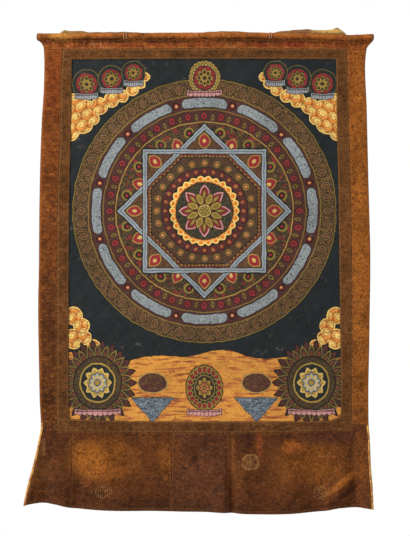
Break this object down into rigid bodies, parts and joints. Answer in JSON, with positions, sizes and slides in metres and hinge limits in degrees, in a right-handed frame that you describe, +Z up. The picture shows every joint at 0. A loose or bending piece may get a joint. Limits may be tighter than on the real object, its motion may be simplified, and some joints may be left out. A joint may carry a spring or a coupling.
{
  "type": "thangka scroll painting with top rod",
  "caption": "Painted canvas in a double brocade border, with a sleeve on a round top rod, a flared brocade skirt and a folded veil behind its top.",
  "frame": {"origin": "middle of the top rod's axis, where the hanging's cord would take its weight", "axes": "+Z up, +X to the right of someone who faces the painting, and the painted side faces -Y"},
  "size_m": [0.6992, 0.0316, 0.9723],
  "materials": {
    "rod_wood": "dark, aged, matt",
    "heading_brocade": "faded rust brocade with red stains",
    "inner_brocade": "dark olive-brown brocade, worn",
    "outer_brocade": "rust brocade, darker towards its lower end",
    "painted_canvas": "matt distemper paint on cotton canvas, with gold",
    "skirt_brocade": "dark brown brocade, worn to orange in patches",
    "door_brocade": "purplish brown brocade",
    "golden_binding": "golden silk binding",
    "veil_silk": "thin golden-brown silk",
    "tie_thread": "twisted beige thread"
  },
  "bodies": {
    "root": {"top_rod": "rod_wood", "heading": "heading_brocade", "inner_border_top": "inner_brocade", "inner_border_bottom": "inner_brocade", "inner_border_left": "inner_brocade", "inner_border_right": "inner_brocade", "outer_border_left": "outer_brocade", "outer_border_right": "outer_brocade", "painting": "painted_canvas", "skirt_side_left": "skirt_brocade", "skirt_left": "skirt_brocade", "skirt_door": "door_brocade", "skirt_right": "skirt_brocade", "skirt_binding_left": "golden_binding", "skirt_binding_right": "golden_binding", "dust_veil": "veil_silk", "hanging_tie_left": "tie_thread", "hanging_tie_right": "tie_thread"}
  },
  "joints": []
}
